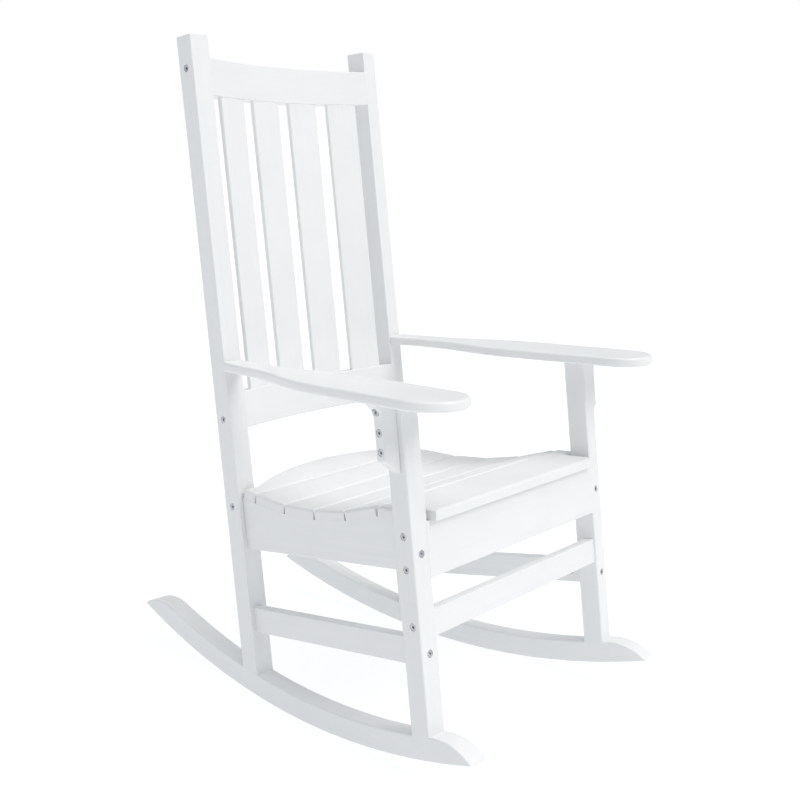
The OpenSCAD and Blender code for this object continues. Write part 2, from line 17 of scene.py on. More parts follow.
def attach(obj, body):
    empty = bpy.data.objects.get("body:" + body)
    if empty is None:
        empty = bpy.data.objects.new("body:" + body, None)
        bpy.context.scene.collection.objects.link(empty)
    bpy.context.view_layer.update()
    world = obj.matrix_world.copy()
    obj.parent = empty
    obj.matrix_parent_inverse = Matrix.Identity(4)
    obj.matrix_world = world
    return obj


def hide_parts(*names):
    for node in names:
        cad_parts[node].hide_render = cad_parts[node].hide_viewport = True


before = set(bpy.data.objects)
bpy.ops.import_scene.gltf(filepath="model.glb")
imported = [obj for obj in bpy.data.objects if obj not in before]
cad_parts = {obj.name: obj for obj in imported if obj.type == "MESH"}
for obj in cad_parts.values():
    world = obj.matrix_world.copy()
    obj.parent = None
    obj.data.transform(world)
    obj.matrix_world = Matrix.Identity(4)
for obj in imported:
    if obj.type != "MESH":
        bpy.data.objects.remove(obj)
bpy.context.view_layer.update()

MM = 0.001

# ---- driving dimensions, as in the CAD ----

LEG_FACE_X = 288 * MM
TOE = math.radians(5.8)
LEG_W = 38 * MM
LEG_MID = LEG_W / 2
POST_U = 410.6 * MM
POST_TOP = 1191 * MM
POST_BACK_U = POST_U + LEG_W
POST_MID_U = POST_U + LEG_MID
POST_LEAN = math.radians(0.5)
LEAN_Z = 300 * MM

ROCKER_R = 1213 * MM
ROCKER_H = 40 * MM
ROCKER_U = 107 * MM
TIP_R = 95 * MM
FRONT_SWEEP = math.radians(5.48)
REAR_SWEEP = math.radians(27.3)
REST_TILT = math.radians(11)
# The rounding of a tip: distance of its centre from the rocker's, and how far beyond the end
# of the sweep it meets the sole.
TIP_CENTRE_R = ROCKER_R - ROCKER_H + TIP_R
TIP_TURN = math.acos((TIP_CENTRE_R**2 + ROCKER_R**2 - TIP_R**2) / (2 * TIP_CENTRE_R * ROCKER_R))

ARM_Z = 587.5 * MM
ARM_SLOPE = math.radians(6.72)
ARM_T = 17 * MM
ARM_R = 60 * MM
ARM_MID_S = -6 * MM
ARM_NOSE_U = ARM_R - 119 * MM
ARM_TAPER_U = 128 * MM
ARM_TAPER_L = 232 * MM
ARM_NECK_OUT_S = 14 * MM
ARM_NECK_IN_S = -32 * MM
ARM_END_OUT_S = 7.3 * MM
ARM_END_R = 9 * MM
ARM_BOLT_S = -17 * MM
ARM_BOLT_Z = 625 * MM

RAIL_T = 20 * MM
RAIL_OUT_S = -(LEG_W - RAIL_T) / 2
RAIL_IN_S = RAIL_OUT_S - RAIL_T
RAIL_MID_S = -LEG_MID
RAIL_BOTTOM_Z = 304 * MM
RAIL_DIP_Z = 370 * MM
RAIL_DIP_R = 660 * MM
RAIL_DIP_U = 228 * MM
SIDE_STRETCHER_Z = 154 * MM
SIDE_STRETCHER_H = 45 * MM

FRONT_SLOPE = math.radians(5)
FRONT_SLAT_END_U = 80 * MM
SLAT_LIP_Y = -16 * MM
LEG_GAP = 8 * MM
POST_GAP = 2 * MM
SLAT_T = 17 * MM
SLAT_START_U = 83 * MM
SLAT_PITCH = 74.6 * MM
SLAT_GAP = 4 * MM
REAR_SLAT_I = 4
REAR_BULGE_R = 520 * MM
REAR_BULGE_Y = 447 * MM

APRON_Z = 290 * MM
APRON_T = 26 * MM
STRETCHER_Z = 196 * MM
STRETCHER_H = 44 * MM
STRETCHER_T = 20 * MM
STRETCHER_U = 4 * MM
REAR_RAIL_Z = 335 * MM
REAR_RAIL_H = 60 * MM
REAR_RAIL_T = 22 * MM

LOWER_RAIL_Z = 515 * MM
LOWER_RAIL_H = 65 * MM
CREST_Z = 1089 * MM
CREST_H = 64 * MM
BACK_BOW = 30 * MM
BACK_RAIL_T = 25 * MM
BACK_SLAT_W = 70 * MM
BACK_SLAT_T = 9 * MM
BACK_SLAT_TURN = math.radians(7.6)
BACK_SLAT_RECESS = 1 * MM
TONGUE = 10 * MM

BRACKET_T = 18 * MM
BRACKET_W = 31 * MM
BRACKET_FOOT_Z = 460 * MM
BRACKET_HEEL_Z = 484 * MM
BRACKET_FLARE_Z = 544 * MM
BRACKET_FLARE_R = 34 * MM

HEAD_D = 12.5 * MM
HEAD_T = 3.5 * MM
HEAD_SINK = 0.4 * MM
SOCKET_ACROSS = 5 * MM
SOCKET_DEEP = 2.5 * MM
SHANK_D = 6 * MM
BOLT_L = 60 * MM
NUT_DEPTH = 58 * MM
NUT_D = 10 * MM
NUT_L = 12 * MM
END_BOLT_Z = (174 * MM, 332 * MM)
LEG_BOLTS = ((17.5 * MM, 361 * MM), (17.5 * MM, 309 * MM), (13.5 * MM, 219 * MM))
POST_BOLTS = ((POST_MID_U, 1136 * MM), (POST_MID_U, 534 * MM), (POST_MID_U, 380 * MM))
BRACKET_SCREWS = ((497 * MM, 31 * MM), (527 * MM, 31 * MM), (559 * MM, 35 * MM))
BRACKET_SCREW_D = 5 * MM
BRACKET_SCREW_L = 58 * MM
ROCKER_HEAD_DEEP = 12 * MM
HEAD_ROUND = 0.7 * MM
HEAD_DISH = 0.35 * MM
SOCKET_RIM = 0.5 * MM
BOLT_TIP = 1 * MM
BOLT_SIDES = 24
BORE_SIDES = 32
# Bores are wider than their bolts and nuts by this much in radius, and are cut this far
# out of the wood.
HEAD_CLEAR = 0.1 * MM
NUT_CLEAR = 0.05 * MM
ROCKER_CLEAR = 0.75 * MM
BORE_REACH = 20 * MM
NUT_BORE_L = 50 * MM

# ---- how softly each kind of edge is rounded ----

LEG_EDGE = 3 * MM
POST_EDGE = 1.8 * MM
RAIL_EDGE = 2 * MM
BACK_SLAT_EDGE = 2.5 * MM
BRACKET_EDGE = 0.8 * MM
SLAT_EDGE = 5 * MM
UNDER_EDGE = 0.5 * MM
ARM_EDGE = 5 * MM
ARC_STEP = math.radians(3)
SHARP = math.radians(40)

X = Vector((1, 0, 0))
Y = Vector((0, 1, 0))
Z = Vector((0, 0, 1))
LEFT = 1
RIGHT = -1
SIDES = {"left": LEFT, "right": RIGHT}


# ---- places ----


def side_x(s, u):
    return LEG_FACE_X + s * math.cos(TOE) - u * math.sin(TOE)


def side_y(s, u):
    return u * math.cos(TOE) + s * math.sin(TOE)


def rail_top(u):
    """Height of the side rail's curved top edge."""
    return RAIL_DIP_Z + RAIL_DIP_R - math.sqrt(RAIL_DIP_R**2 - (u - RAIL_DIP_U) ** 2)


def slat_u(i):
    """Where slat i begins on the rail; slat 0 is the one behind the front slat."""
    return SLAT_START_U + i * SLAT_PITCH


def slat_end_u(i):
    return POST_U - POST_GAP if i == REAR_SLAT_I else slat_u(i) + SLAT_PITCH - SLAT_GAP


def front_slat_z(y):
    """Height of the front slat's underside, the distance y rearward."""
    end_y = side_y(RAIL_MID_S, FRONT_SLAT_END_U)
    return rail_top(FRONT_SLAT_END_U) - (end_y - y) * math.tan(FRONT_SLOPE)


def sole_z(u):
    """Height of the rocker's sole below the place u."""
    return ROCKER_R - math.sqrt(ROCKER_R**2 - (u - ROCKER_U) ** 2)


def rocker_top(u):
    return ROCKER_R - math.sqrt((ROCKER_R - ROCKER_H) ** 2 - (u - ROCKER_U) ** 2)


def arm_under(u):
    """Height of the arm's underside over the middle of the leg."""
    y = side_y(RAIL_MID_S, u)
    return ARM_Z + y * math.tan(ARM_SLOPE) - ARM_T / math.cos(ARM_SLOPE)


def rest_matrix():
    """Rolls the chair back to its balance attitude, standing on the floor at the origin."""

    def tilted_y(s, turn):
        y = side_y(s, ROCKER_U + ROCKER_R * math.sin(turn))
        return y * math.cos(REST_TILT) + ROCKER_R * (1 - math.cos(turn)) * math.sin(REST_TILT)

    touch_u = ROCKER_U + ROCKER_R * math.sin(math.atan(math.cos(TOE) * math.tan(REST_TILT)))
    front = tilted_y(-LEG_W, -FRONT_SWEEP - TIP_TURN)
    rear = tilted_y(0, REAR_SWEEP + TIP_TURN)
    lift = side_y(0, touch_u) * math.sin(REST_TILT) - sole_z(touch_u) * math.cos(REST_TILT)
    return Matrix.Translation((0, -(front + rear) / 2, lift)) @ Matrix.Rotation(-REST_TILT, 4, "X")


REST = rest_matrix()
SIDE_FRAME = Matrix.Translation((LEG_FACE_X, 0, 0)) @ Matrix.Rotation(TOE, 4, "Z")


def leaning(y):
    """Leans a board back with the posts, about the place y, LEAN_Z."""
    there = Matrix.Translation((0, y, LEAN_Z))
    return there @ Matrix.Rotation(-POST_LEAN, 4, "X") @ there.inverted()


POST_LEANING = leaning(POST_U)
BACK_LEANING = leaning(side_y(-LEG_W, POST_U))
ARM_FRAME = (
    Matrix.Translation((0, 0, ARM_Z)) @ Matrix.Rotation(ARM_SLOPE, 4, "X") @ SIDE_FRAME
)
MIRROR_X = Matrix.Diagonal((-1, 1, 1, 1))
FLIP_Z = Matrix.Diagonal((1, 1, -1, 1))


def axes(along, across, origin):
    """A board's own frame: local x along its grain, local y across it, local z through it."""
    through = along.cross(across)
    rotation = Matrix((along, across, through)).transposed().to_4x4()
    return Matrix.Translation(origin) @ rotation


# ---- outlines ----


def arc(centre, radius, start, end, steps=None):
    """Points of an arc from one angle to another, both ends included.

    Flat curves of large radius are given their number of steps; the others turn ARC_STEP at
    a time."""
    steps = steps or max(2, round(abs(end - start) / ARC_STEP))
    angles = [start + (end - start) * i / steps for i in range(steps + 1)]
    return [(centre[0] + radius * math.cos(a), centre[1] + radius * math.sin(a)) for a in angles]


def mirrored(half):
    """Closes a plan that is the same on both sides of the chair, given its left half."""
    return half + [(-x, y) for x, y in reversed(half)]


# ---- boards ----


def smooth(mesh):
    for polygon in mesh.polygons:
        polygon.use_smooth = True


def rounded(bm, edges, radius, segments=4):
    if edges:
        bmesh.ops.bevel(
            bm,
            geom=edges,
            offset=radius,
            segments=segments,
            profile=0.5,
            affect="EDGES",
            clamp_overlap=False,
        )


def bends(edge, degrees):
    """Whether the two faces that meet at an edge turn by more than this."""
    return len(edge.link_faces) == 2 and edge.calc_face_angle() > math.radians(degrees)


def along_grain(edge):
    """The long edges only: the ends stay sharp, where they butt against another board."""
    low, high = (v.co for v in edge.verts)
    return abs((high - low).normalized().x) > 0.8


def long_or_top(edge):
    """The long edges of a post and those round its free top."""
    return along_grain(edge) or min(v.co.x for v in edge.verts) > POST_TOP - MM


def long_and_low(edge):
    """The lower long edges of a side rail; its upper ones meet the slats."""
    return along_grain(edge) and max(v.co.y for v in edge.verts) < RAIL_BOTTOM_Z + MM


def off_the_rails(edge):
    """Every edge of a seat slat but those of its underside, which lies on the rails."""
    return max(v.co.z for v in edge.verts) > MM


def board_mesh(outline, depth, edge, top_edge=None, soft=None):
    """A flat board: its outline, given depth along local z, with its edges rounded.

    soft says which of its edges are rounded, if not all; those round its upper face may have
    a radius of their own, top_edge."""
    bm = bmesh.new()
    low = [bm.verts.new((x, y, 0)) for x, y in outline]
    high = [bm.verts.new((x, y, depth)) for x, y in outline]
    bm.faces.new(list(reversed(low)))
    bm.faces.new(high)
    for i in range(len(outline)):
        j = (i + 1) % len(outline)
        bm.faces.new((low[i], low[j], high[j], high[i]))
    bmesh.ops.recalc_face_normals(bm, faces=bm.faces[:])
    if top_edge:
        upper = [e for e in bm.edges if min(v.co.z for v in e.verts) > depth - MM]
        rounded(bm, [e for e in upper if bends(e, 25)], top_edge, segments=5)
    rims = [e for e in bm.edges if bends(e, 50)]
    if soft:
        rims = [e for e in rims if soft(e)]
    rounded(bm, rims, edge)
    return bm


def as_object(name, bm):
    mesh = bpy.data.meshes.new(name)
    bm.to_mesh(mesh)
    bm.free()
    smooth(mesh)
    piece = bpy.data.objects.new(name, mesh)
    bpy.context.collection.objects.link(piece)
    return piece


def put(name, bm, local, side=LEFT):
    """Makes the piece at its board frame; a right-hand board is the mirror of the left."""
    world = REST @ local
    if side == RIGHT:
        bmesh.ops.transform(bm, matrix=FLIP_Z, verts=bm.verts[:])
        bmesh.ops.reverse_faces(bm, faces=bm.faces[:])
        world = REST @ MIRROR_X @ local @ FLIP_Z
    piece = as_object(name, bm)
    piece.matrix_world = world
    return piece


def level(piece, side):
    """Gives a long curved board a frame that is level at rest, so that its box fits closely."""
    flat = Matrix.Translation(piece.matrix_world.translation)
    flat = flat @ Matrix.Rotation(side * TOE + math.pi / 2, 4, "Z")
    piece.data.transform(flat.inverted() @ piece.matrix_world)
    piece.matrix_world = flat


def finish_board(piece, node, cutters=None):
    """Cuts the bores, then gives the board its paint and its body, and hides the node it stands for.
    """
    if cutters:
        cut(piece, cutters)
    piece.data.set_sharp_from_angle(angle=SHARP)
    normals = piece.modifiers.new("weighted", "WEIGHTED_NORMAL")
    normals.weight = 100
    normals.keep_sharp = True
    piece.data.materials.append(PAINT)
    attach(piece, "root")
    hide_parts(node)
    return piece


# ---- bores ----


def bore(at, radius, start, end):
    """A cutting cylinder: at places its axis, start and end are depths along it."""
    bm = bmesh.new()
    bmesh.ops.create_cone(
        bm,
        cap_ends=True,
        segments=BORE_SIDES,
        radius1=radius,
        radius2=radius,
        depth=end - start,
        matrix=at @ Matrix.Translation((0, 0, (start + end) / 2)),
    )
    mesh = bpy.data.meshes.new("bore")
    bm.to_mesh(mesh)
    bm.free()
    return mesh


def cut(piece, meshes):
    """Subtracts cutting meshes, given in the world frame, and keeps the result."""
    joined = bmesh.new()
    for mesh in meshes:
        joined.from_mesh(mesh)
        bpy.data.meshes.remove(mesh)
    mesh = bpy.data.meshes.new("cutter")
    bmesh.ops.recalc_face_normals(joined, faces=joined.faces[:])
    joined.to_mesh(mesh)
    joined.free()
    cutter = bpy.data.objects.new("cutter", mesh)
    bpy.context.collection.objects.link(cutter)
    boolean = piece.modifiers.new("bores", "BOOLEAN")
    boolean.operation = "DIFFERENCE"
    boolean.solver = "EXACT"
    boolean.object = cutter
    bpy.context.view_layer.update()
    done = bpy.data.meshes.new_from_object(
        piece.evaluated_get(bpy.context.evaluated_depsgraph_get())
    )
    done.name = piece.name
    piece.modifiers.clear()
    piece.data = done
    bpy.data.objects.remove(cutter)
    smooth(done)


def inward_at(u, z, s=0.0):
    """Axis of a bolt running inward from the outer face; local y is rearward."""
    return Matrix.Translation((s, u, z)) @ Matrix.Rotation(-math.pi / 2, 4, "Y")


def rearward_at(z):
    turn = Matrix.Rotation(-math.pi / 2, 4, "X") @ Matrix.Rotation(math.pi / 2, 4, "Z")
    return Matrix.Translation((RAIL_MID_S, 0, z)) @ turn


def forward_at(z):
    turn = Matrix.Rotation(math.pi / 2, 4, "X") @ Matrix.Rotation(math.pi / 2, 4, "Z")
    return POST_LEANING @ Matrix.Translation((RAIL_MID_S, POST_BACK_U, z)) @ turn


def forward_into_arm():
    turn = Matrix.Rotation(math.pi / 2, 4, "X") @ Matrix.Rotation(math.pi, 4, "Z")
    return POST_LEANING @ Matrix.Translation((ARM_BOLT_S, POST_BACK_U, ARM_BOLT_Z)) @ turn


def on_side(local, side):
    """A bolt's frame in the world, for either side of the chair."""
    world = REST @ SIDE_FRAME @ local
    if side == RIGHT:
        world = REST @ MIRROR_X @ SIDE_FRAME @ local
    return world


LEG_FRAMES = [inward_at(u, z) for u, z in LEG_BOLTS]
POST_FRAMES = [POST_LEANING @ inward_at(u, z) for u, z in POST_BOLTS]
FRONT_END_FRAMES = [rearward_at(z) for z in END_BOLT_Z]
REAR_END_FRAMES = [forward_at(z) for z in END_BOLT_Z]
BRACKET_FRAMES = [inward_at(LEG_MID, z, s) for z, s in BRACKET_SCREWS]


def head_bores(frames, side):
    radius = HEAD_D / 2 + HEAD_CLEAR
    return [bore(on_side(f, side), radius, -BORE_REACH, HEAD_T + HEAD_SINK) for f in frames]


def nut_bore(local, side):
    """The barrel nut's bore, open on the +y side of the bolt."""
    across = Matrix.Translation((0, -NUT_L / 2, NUT_DEPTH)) @ Matrix.Rotation(-math.pi / 2, 4, "X")
    return bore(on_side(local @ across, side), NUT_D / 2 + NUT_CLEAR, 0, NUT_BORE_L)


def nut_bores(frames, side):
    return [nut_bore(f, side) for f in frames]


def rocker_head_bore(u, side):
    at = Matrix.Translation((RAIL_MID_S, u, sole_z(u)))
    radius = HEAD_D / 2 + ROCKER_CLEAR
    return bore(on_side(at, side), radius, -BORE_REACH, ROCKER_HEAD_DEEP + HEAD_T)


# ---- materials ----


class Nodes:
    """Short spelling for a material's node tree."""

    def __init__(self, name):
        self.material = bpy.data.materials.new(name)
        self.material.use_nodes = True
        self.tree = self.material.node_tree
        self.shader = self.tree.nodes["Principled BSDF"]

    def add(self, kind, **values):
        node = self.tree.nodes.new(kind)
        for key, value in values.items():
            if key in node.inputs:
                node.inputs[key].default_value = value
            else:
                setattr(node, key, value)
        return node

    def link(self, out, into):
        self.tree.links.new(out, into)

    def noise(self, vector, scale, detail=4.0, roughness=0.55, distortion=0.0):
        node = self.add("ShaderNodeTexNoise")
        node.inputs["Scale"].default_value = scale
        node.inputs["Detail"].default_value = detail
        node.inputs["Roughness"].default_value = roughness
        node.inputs["Distortion"].default_value = distortion
        self.link(vector, node.inputs["Vector"])
        return node.outputs["Fac"]

    def stretched(self, vector, scale):
        node = self.add("ShaderNodeMapping")
        node.inputs["Scale"].default_value = scale
        self.link(vector, node.inputs["Vector"])
        return node.outputs["Vector"]

    def remap(self, value, low, high, to_low, to_high):
        node = self.add("ShaderNodeMapRange")
        node.inputs["From Min"].default_value = low
        node.inputs["From Max"].default_value = high
        node.inputs["To Min"].default_value = to_low
        node.inputs["To Max"].default_value = to_high
        self.link(value, node.inputs["Value"])
        return node.outputs["Result"]

    def mix(self, amount, first, second, mode="MIX"):
        node = self.add("ShaderNodeMix", data_type="RGBA", blend_type=mode)
        for key, value in (("Factor", amount), ("A", first), ("B", second)):
            sockets = [s for s in node.inputs if s.name == key and s.enabled]
            socket = sockets[-1]
            if isinstance(value, bpy.types.NodeSocket):
                self.link(value, socket)
            else:
                socket.default_value = value
        return [s for s in node.outputs if s.enabled][0]

    def math(self, operation, first, second):
        node = self.add("ShaderNodeMath", operation=operation)
        for socket, value in zip(node.inputs, (first, second)):
            if isinstance(value, bpy.types.NodeSocket):
                self.link(value, socket)
            else:
                socket.default_value = value
        return node.outputs[0]

    def bump(self, height, distance, normal=None, strength=1.0):
        node = self.add("ShaderNodeBump")
        node.inputs["Strength"].default_value = strength
        node.inputs["Distance"].default_value = distance
        self.link(height, node.inputs["Height"])
        if normal:
            self.link(normal, node.inputs["Normal"])
        return node.outputs["Normal"]


def board_coordinates(m):
    """The board's own coordinates in metres, shifted at random from board to board."""
    place = m.add("ShaderNodeTexCoord").outputs["Object"]
    random = m.add("ShaderNodeObjectInfo").outputs["Random"]
    shift = m.add("ShaderNodeVectorMath", operation="SCALE")
    shift.inputs[0].default_value = (7.0, 3.0, 5.0)
    m.link(random, shift.inputs["Scale"])
    total = m.add("ShaderNodeVectorMath", operation="ADD")
    m.link(place, total.inputs[0])
    m.link(shift.outputs[0], total.inputs[1])
    return total.outputs[0], random


def edge_mask(m, radius):
    """1 on rounded edges, 0 on flat faces."""
    bevel = m.add("ShaderNodeBevel", samples=4)
    bevel.inputs["Radius"].default_value = radius
    geometry = m.add("ShaderNodeNewGeometry")
    dot = m.add("ShaderNodeVectorMath", operation="DOT_PRODUCT")
    m.link(bevel.outputs["Normal"], dot.inputs[0])
    m.link(geometry.outputs["Normal"], dot.inputs[1])
    return m.remap(dot.outputs["Value"], 0.99, 0.86, 0.0, 1.0)


def white_paint():
    """Satin white paint over planed wood: faint grain, sprayed texture, slightly worn edges."""
    m = Nodes("white_paint")
    place, random = board_coordinates(m)
    grain = m.noise(m.stretched(place, (3.0, 130.0, 130.0)), 1.0, 5.0, 0.6, 0.6)
    pores = m.noise(m.stretched(place, (30.0, 900.0, 900.0)), 1.0, 3.0)
    spray = m.noise(place, 620.0, 2.0)
    clouds = m.noise(place, 9.0, 3.0)
    handled = m.noise(place, 38.0, 5.0, 0.65)
    edges = edge_mask(m, 3 * MM)

    tone = m.mix(m.remap(clouds, 0.3, 0.7, 0.0, 1.0), (0.815, 0.82, 0.825, 1), (0.845, 0.85, 0.855, 1))
    tone = m.mix(m.remap(grain, 0.35, 0.75, 0.0, 0.35), tone, (0.78, 0.79, 0.79, 1))
    tone = m.mix(m.remap(random, 0.0, 1.0, 0.0, 0.25), tone, (0.86, 0.865, 0.86, 1))
    worn = m.math("MULTIPLY", edges, m.remap(handled, 0.48, 0.66, 0.0, 0.3))
    tone = m.mix(worn, tone, (0.80, 0.80, 0.785, 1))
    m.link(tone, m.shader.inputs["Base Color"])

    gloss = m.remap(handled, 0.25, 0.75, 0.30, 0.46)
    gloss = m.math("ADD", gloss, m.math("MULTIPLY", edges, -0.06))
    m.link(gloss, m.shader.inputs["Roughness"])

    surface = m.bump(grain, 0.25 * MM)
    surface = m.bump(pores, 0.06 * MM, surface)
    surface = m.bump(spray, 0.03 * MM, surface)
    m.link(surface, m.shader.inputs["Normal"])
    m.shader.inputs["IOR"].default_value = 1.48
    m.shader.inputs["Specular IOR Level"].default_value = 0.45
    return m.material


def zinc_steel():
    """Bright zinc-plated steel with fine turning marks and dull patches."""
    m = Nodes("zinc_steel")
    place = m.add("ShaderNodeTexCoord").outputs["Object"]
    patches = m.noise(place, 260.0, 4.0, 0.6)
    scratches = m.noise(m.stretched(place, (1500.0, 1500.0, 4000.0)), 1.0, 2.0)
    tone = m.mix(m.remap(patches, 0.3, 0.7, 0.0, 1.0), (0.42, 0.43, 0.45, 1), (0.60, 0.61, 0.63, 1))
    m.link(tone, m.shader.inputs["Base Color"])
    m.link(m.remap(patches, 0.3, 0.7, 0.44, 0.26), m.shader.inputs["Roughness"])
    m.link(m.bump(scratches, 0.02 * MM), m.shader.inputs["Normal"])
    m.shader.inputs["Metallic"].default_value = 1.0
    return m.material


def bare_wood():
    """Pale beech, unfinished."""
    m = Nodes("bare_wood")
    place = m.add("ShaderNodeTexCoord").outputs["Object"]
    fibres = m.noise(m.stretched(place, (700.0, 700.0, 60.0)), 1.0, 4.0)
    tone = m.mix(m.remap(fibres, 0.3, 0.7, 0.0, 1.0), (0.52, 0.36, 0.21, 1), (0.68, 0.50, 0.32, 1))
    m.link(tone, m.shader.inputs["Base Color"])
    m.link(m.remap(fibres, 0.3, 0.7, 0.7, 0.55), m.shader.inputs["Roughness"])
    m.link(m.bump(fibres, 0.1 * MM), m.shader.inputs["Normal"])
    return m.material


PAINT = white_paint()
ZINC = zinc_steel()
BEECH = bare_wood()


# ---- side frame boards ----


def tip_arc(sweep, direction):
    """Points of a tip's rounding, from the sole to the top edge; direction is 1 at the rear."""
    turn = sweep * direction
    end_turn = (sweep + TIP_TURN) * direction
    centre = (
        ROCKER_U + TIP_CENTRE_R * math.sin(turn),
        ROCKER_R - TIP_CENTRE_R * math.cos(turn),
    )
    tip = (
        ROCKER_U + ROCKER_R * math.sin(end_turn),
        ROCKER_R - ROCKER_R * math.cos(end_turn),
    )
    start = math.atan2(tip[1] - centre[1], tip[0] - centre[0])
    end = math.pi / 2 + turn
    end += 2 * math.pi * round((start - end) / (2 * math.pi))
    return arc(centre, TIP_R, start, end, 10)


def rocker(side, word):
    """Slice of a ring whose top edge rounds down to the sole at both tips."""
    centre = (ROCKER_U, ROCKER_R)
    down = -math.pi / 2
    front_end = down - FRONT_SWEEP
    rear_end = down + REAR_SWEEP
    outline = arc(centre, ROCKER_R, front_end - TIP_TURN, rear_end + TIP_TURN, 60)
    outline += tip_arc(REAR_SWEEP, 1)[1:-1]
    outline += arc(centre, ROCKER_R - ROCKER_H, rear_end, front_end, 56)
    outline += list(reversed(tip_arc(FRONT_SWEEP, -1)))[1:-1]
    local = SIDE_FRAME @ axes(Y, Z, (-LEG_W, 0, 0))
    piece = put(f"rocker_board_{word}", board_mesh(outline, LEG_W, LEG_EDGE), local, side)
    level(piece, side)
    bores = [rocker_head_bore(u, side) for u in (LEG_MID, POST_MID_U)]
    finish_board(piece, f"{word}_rocker", bores)


def upright(name, node, side, u0, top, bores, edge=LEG_EDGE, lean=Matrix(), soft=along_grain):
    """Square leg or post; top gives its height at a place u.

    Its foot follows the curve of the rocker in four steps, sunk in it by the rounding of the
    rocker's edges."""
    foot = [u0 + LEG_W * i / 4 for i in range(5)]
    outline = [(rocker_top(u) - LEG_EDGE, u) for u in reversed(foot)]
    outline += [(top(u0), u0), (top(u0 + LEG_W), u0 + LEG_W)]
    local = SIDE_FRAME @ lean @ axes(Z, Y, (0, 0, 0))
    bm = board_mesh(outline, LEG_W, edge, soft=soft)
    finish_board(put(name, bm, local, side), node, bores)


def front_leg(side, word):
    bores = head_bores(LEG_FRAMES + FRONT_END_FRAMES, side)
    upright(f"front_leg_board_{word}", f"{word}_front_leg", side, 0.0, arm_under, bores)


def square_top(_):
    return POST_TOP


def rear_post(side, word):
    bores = head_bores(POST_FRAMES + REAR_END_FRAMES + [forward_into_arm()], side)
    name = f"rear_post_board_{word}"
    node = f"{word}_rear_post"
    upright(name, node, side, POST_U, square_top, bores, POST_EDGE, POST_LEANING, long_or_top)


def side_rail(side, word):
    """Its top is cut in a flat under each slat."""
    flats = [u for i in range(REAR_SLAT_I + 1) for u in (slat_u(i), slat_end_u(i))]
    outline = [(LEG_W, RAIL_BOTTOM_Z), (POST_U, RAIL_BOTTOM_Z), (POST_U, rail_top(POST_U))]
    outline += [(u, rail_top(u)) for u in reversed(flats)]
    outline += [(FRONT_SLAT_END_U, rail_top(FRONT_SLAT_END_U))]
    outline += [(LEG_W, front_slat_z(side_y(RAIL_MID_S, LEG_W)))]
    local = SIDE_FRAME @ axes(Y, Z, (RAIL_IN_S, 0, 0))
    bm = board_mesh(outline, RAIL_T, RAIL_EDGE, soft=long_and_low)
    piece = put(f"side_rail_board_{word}", bm, local, side)
    frames = [FRONT_END_FRAMES[1], REAR_END_FRAMES[1]]
    finish_board(piece, f"{word}_side_rail", nut_bores(frames, side))


def side_stretcher(side, word):
    low, high = SIDE_STRETCHER_Z, SIDE_STRETCHER_Z + SIDE_STRETCHER_H
    outline = [(LEG_W, low), (POST_U, low), (POST_U, high), (LEG_W, high)]
    local = SIDE_FRAME @ axes(Y, Z, (RAIL_IN_S, 0, 0))
    bm = board_mesh(outline, RAIL_T, RAIL_EDGE, soft=along_grain)
    piece = put(f"side_stretcher_board_{word}", bm, local, side)
    frames = [FRONT_END_FRAMES[0], REAR_END_FRAMES[0]]
    finish_board(piece, f"{word}_side_stretcher", nut_bores(frames, side))


def s_curve(s0, s1):
    """Points (u, s) of the arm's narrowing from s0 to s1, an S of two equal arcs."""
    w = abs(s0 - s1)
    radius = (w * w + ARM_TAPER_L**2) / (4 * w)
    turn = math.asin(ARM_TAPER_L / 2 / radius)
    steps = 12
    inward = 1 if s1 < s0 else -1
    points = []
    for i in range(2 * steps + 1):
        a = turn * i / steps
        if i <= steps:
            along = radius * math.sin(a)
            drop = radius * (1 - math.cos(a))
        else:
            b = 2 * turn - a
            along = ARM_TAPER_L - radius * math.sin(b)
            drop = w - radius * (1 - math.cos(b))
        points.append((ARM_TAPER_U + along, s0 - inward * drop))
    return points


def arm_end_u(s):
    """Where the sloping arm meets the front of the post, measured along the arm."""
    y = side_y(s, POST_U) + (ARM_BOLT_Z - LEAN_Z) * math.tan(POST_LEAN)
    return (y / math.cos(ARM_SLOPE) - s * math.sin(TOE)) / math.cos(TOE)


def arm(side, word):
    """Broad flat arm with a round nose, narrowing in an S to the front of the post."""
    out_s = ARM_MID_S + ARM_R
    in_s = ARM_MID_S - ARM_R
    nose = arc((ARM_NOSE_U, -ARM_MID_S), ARM_R, math.pi / 2, 3 * math.pi / 2)
    outer = [(u, -s) for u, s in s_curve(out_s, ARM_NECK_OUT_S)]
    inner = [(u, -s) for u, s in s_curve(in_s, ARM_NECK_IN_S)]
    end_out = (arm_end_u(ARM_END_OUT_S), -ARM_END_OUT_S)
    end_in = (arm_end_u(-LEG_W), LEG_W)
    centre = (end_out[0] - ARM_END_R, end_out[1] + ARM_END_R)
    corner = arc(centre, ARM_END_R, -math.pi / 2, 0.0, 6)
    outline = nose + outer + corner + [end_in] + list(reversed(inner))
    local = ARM_FRAME @ axes(Y, -X, (0, 0, -ARM_T))
    piece = put(f"arm_board_{word}", board_mesh(outline, ARM_T, ARM_EDGE), local, side)
    finish_board(piece, f"{word}_arm", nut_bores([forward_into_arm()], side))


